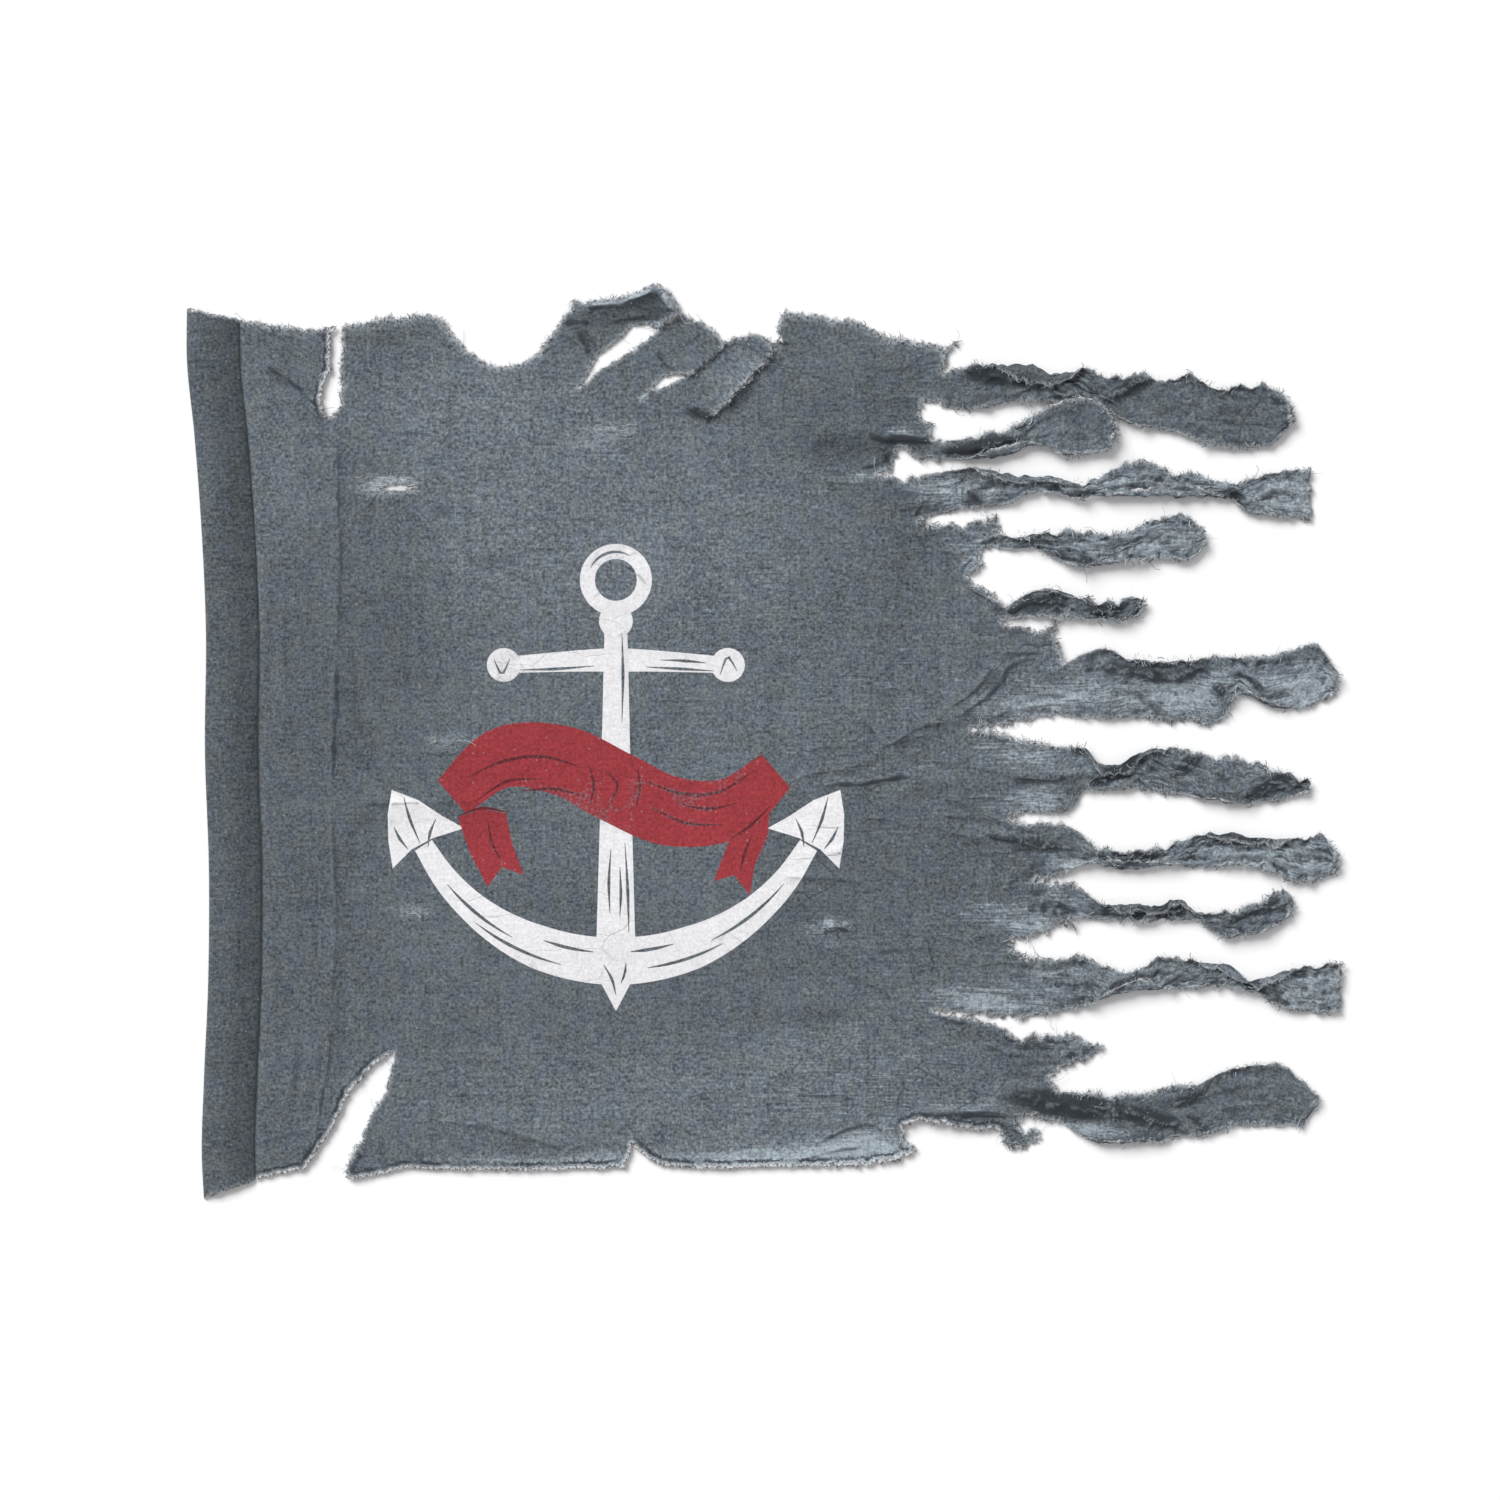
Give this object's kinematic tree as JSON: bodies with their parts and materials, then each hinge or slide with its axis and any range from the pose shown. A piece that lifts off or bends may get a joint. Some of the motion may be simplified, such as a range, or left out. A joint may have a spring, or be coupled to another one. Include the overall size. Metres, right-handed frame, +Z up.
{
  "type": "tattered cloth flag",
  "caption": "Tattered cotton flag lying flat, with a pole sleeve along the hoist, torn edges and curled ribbons at the fly.",
  "frame": {"origin": "centre of the flag's footprint, on the surface it lies on", "axes": "+X from the hoist to the fly, +Y towards the top edge, +Z up out of the printed face"},
  "size_m": [1.1533, 0.9142, 0.0102],
  "materials": {
    "flag_cotton": "matte",
    "sleeve_cotton": "matte"
  },
  "bodies": {
    "root": {"flag_cloth": "flag_cotton", "hoist_sleeve": "sleeve_cotton"}
  },
  "joints": []
}
